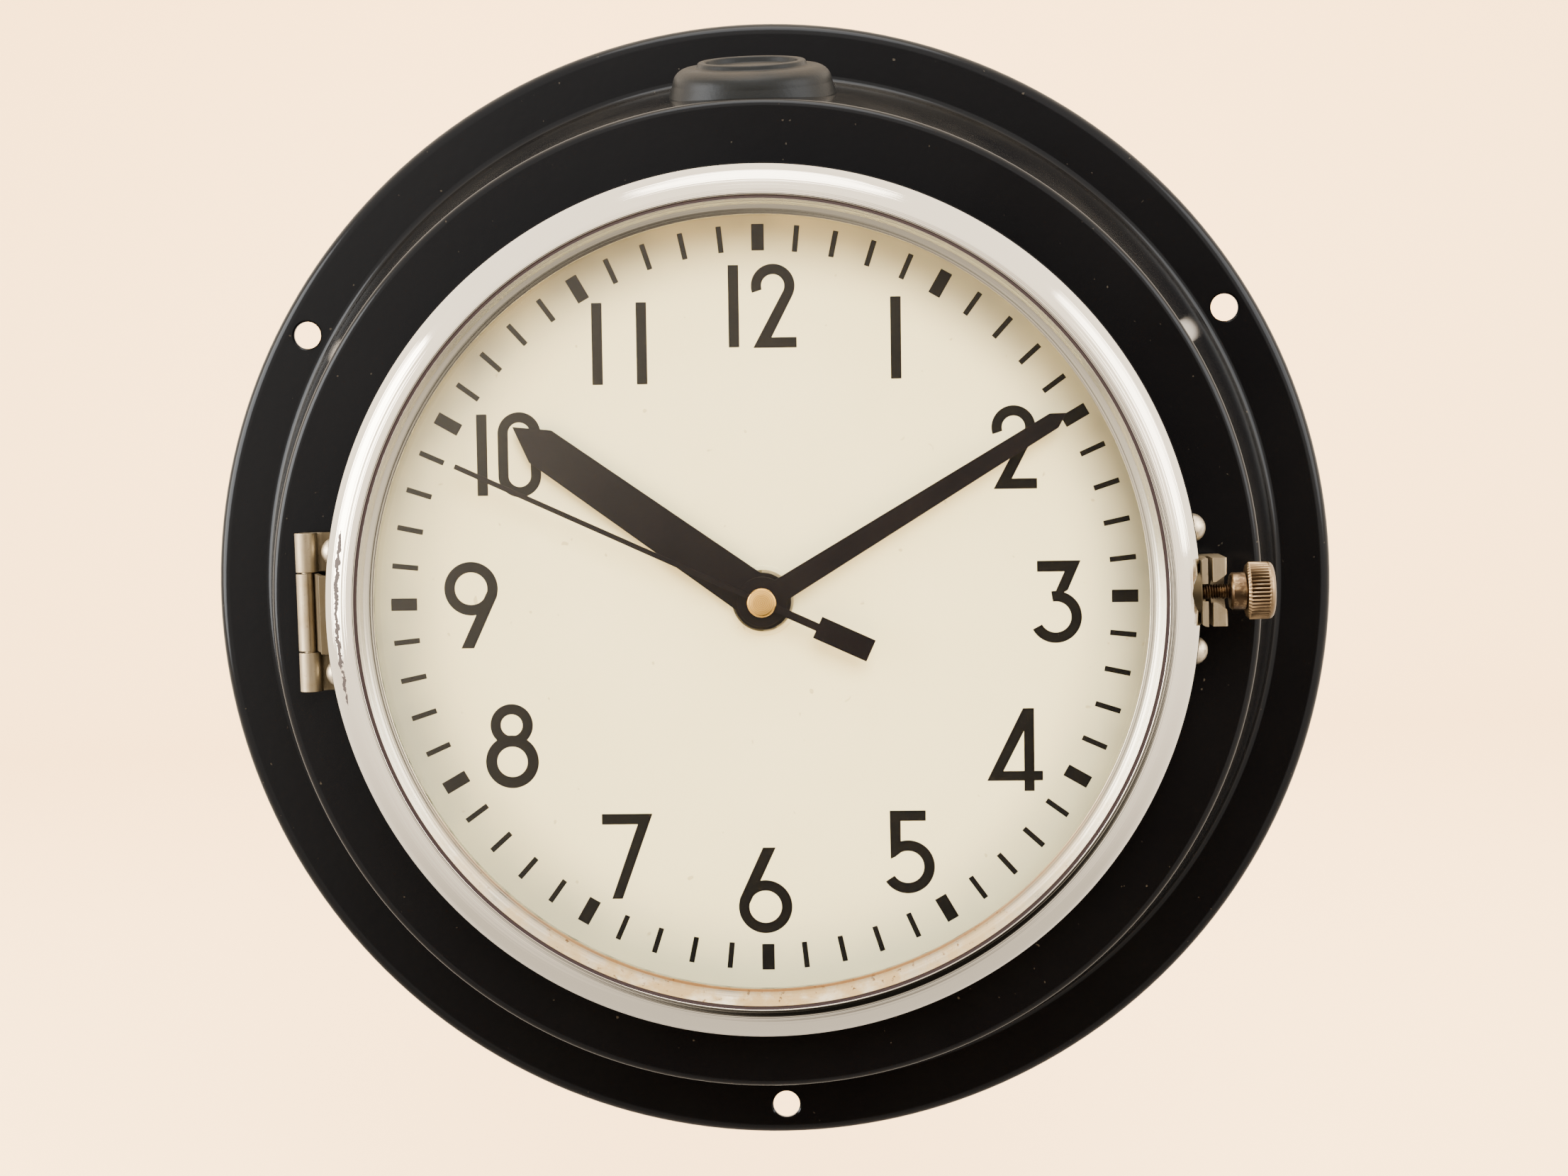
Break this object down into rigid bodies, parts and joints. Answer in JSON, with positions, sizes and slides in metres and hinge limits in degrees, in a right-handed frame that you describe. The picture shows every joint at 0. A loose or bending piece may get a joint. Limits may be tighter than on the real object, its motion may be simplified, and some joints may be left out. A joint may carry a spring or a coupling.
{
  "type": "ships deck clock",
  "caption": "Round bulkhead clock: black flanged drum case, chrome bezel on a side hinge with a thumbscrew latch, ivory dial, sweep hands and a geared quartz movement behind.",
  "frame": {"origin": "centre of the wall flange, in the plane of its back edge (the wall)", "axes": "+X to three o'clock, +Z to twelve o'clock, -Y out of the dial towards the reader"},
  "size_m": [0.24, 0.063, 0.24],
  "materials": {
    "enamel": "gloss black stove enamel",
    "rubber": "dull, slightly dusty",
    "nickel": "worn nickel plate",
    "chrome": "polished chrome plate on brass",
    "brass": "dull old brass",
    "plain_steel": "zinc plate",
    "dial_enamel": "matt ivory paint",
    "hand_paint": "matt black paint",
    "housing_plastic": "moulded black",
    "wheel_plastic": "natural acetal",
    "board": "green lacquer",
    "copper": "lacquered winding",
    "magnet": "sintered",
    "cell_sleeve": "printed sleeve, no words",
    "glass": "clear flat glass"
  },
  "bodies": {
    "case": {"case_shell": "enamel", "cable_plug": "rubber", "bezel_gasket": "rubber", "hinge_case_leaf": "nickel", "hinge_case_rivets": "nickel", "hinge_pin": "nickel", "latch_keeper": "nickel", "latch_keeper_rivets": "nickel", "dial_carrier": "plain_steel", "dial_plate": "dial_enamel", "dial_screws": "plain_steel", "movement_pad": "rubber", "movement_front": "housing_plastic", "movement_rear": "housing_plastic", "dial_washer": "plain_steel", "dial_nut": "brass", "circuit_board": "board", "stator": "plain_steel", "coil": "copper", "battery": "cell_sleeve", "battery_contacts": "plain_steel"},
    "bezel": {"bezel_ring": "chrome", "glass_seal": "rubber", "glass": "glass", "glass_retainer": "plain_steel", "hinge_bezel_leaf": "nickel", "latch_lug": "nickel"},
    "latch_sleeve": {"latch_sleeve": "brass"},
    "thumbscrew": {"thumbscrew": "brass"},
    "seconds": {"seconds_wheel": "wheel_plastic", "second_hand": "hand_paint", "second_hand_cap": "brass"},
    "minutes": {"minute_wheel": "wheel_plastic", "minute_hand": "hand_paint"},
    "hours": {"hour_wheel": "wheel_plastic", "hour_hand": "hand_paint"},
    "third": {"third_wheel": "wheel_plastic"},
    "intermediate": {"intermediate_wheel": "wheel_plastic"},
    "rotor": {"rotor": "magnet"},
    "motion": {"motion_wheel": "wheel_plastic"},
    "setting": {"setting_knob": "housing_plastic"}
  },
  "joints": [
    {"name": "bezel_hinge", "type": "hinge", "parent": "case", "child": "bezel", "pos_m": [-0.0917, -0.0465, 0], "axis": [0, 0, -1], "range_deg": [0, 115]},
    {"name": "sleeve_slide", "type": "slide", "parent": "bezel", "child": "latch_sleeve", "axis": [1, 0, 0], "range_m": [-0.0003, 0.002]},
    {"name": "thumbscrew_turn", "type": "hinge", "parent": "latch_sleeve", "child": "thumbscrew", "pos_m": [0.0976, -0.0566, 0], "axis": [1, 0, 0], "range_deg": [-216, 1440]},
    {"name": "seconds_turn", "type": "hinge", "parent": "case", "child": "seconds", "pos_m": [0, -0.04, 0], "axis": [0, 1, 0], "continuous": true},
    {"name": "minutes_turn", "type": "hinge", "parent": "case", "child": "minutes", "pos_m": [0, -0.04, 0], "axis": [0, 1, 0], "continuous": true},
    {"name": "hours_turn", "type": "hinge", "parent": "case", "child": "hours", "pos_m": [0, -0.04, 0], "axis": [0, 1, 0], "continuous": true},
    {"name": "third_turn", "type": "hinge", "parent": "case", "child": "third", "pos_m": [-0.0106, -0.04, 0.00612], "axis": [0, 1, 0], "continuous": true},
    {"name": "intermediate_turn", "type": "hinge", "parent": "case", "child": "intermediate", "pos_m": [0.00735, -0.04, 0.00617], "axis": [0, 1, 0], "continuous": true},
    {"name": "rotor_turn", "type": "hinge", "parent": "case", "child": "rotor", "pos_m": [0.0163, -0.04, 0.00943], "axis": [0, 1, 0], "continuous": true},
    {"name": "motion_turn", "type": "hinge", "parent": "case", "child": "motion", "pos_m": [0, -0.04, 0.00864], "axis": [0, 1, 0], "continuous": true},
    {"name": "setting_turn", "type": "hinge", "parent": "case", "child": "setting", "pos_m": [0.00432, -0.04, 0.01612], "axis": [0, 1, 0], "continuous": true}
  ],
  "couplings": [
    {"joint": "thumbscrew_turn", "follows": "sleeve_slide", "rad_per_m": 12566},
    {"joint": "third_turn", "follows": "seconds_turn", "ratio": -0.13333},
    {"joint": "minutes_turn", "follows": "seconds_turn", "ratio": 0.016667},
    {"joint": "intermediate_turn", "follows": "seconds_turn", "ratio": -5},
    {"joint": "rotor_turn", "follows": "seconds_turn", "ratio": 30},
    {"joint": "motion_turn", "follows": "seconds_turn", "ratio": -0.0055556},
    {"joint": "hours_turn", "follows": "seconds_turn", "ratio": 0.0013889},
    {"joint": "setting_turn", "follows": "seconds_turn", "ratio": 0.016667}
  ]
}
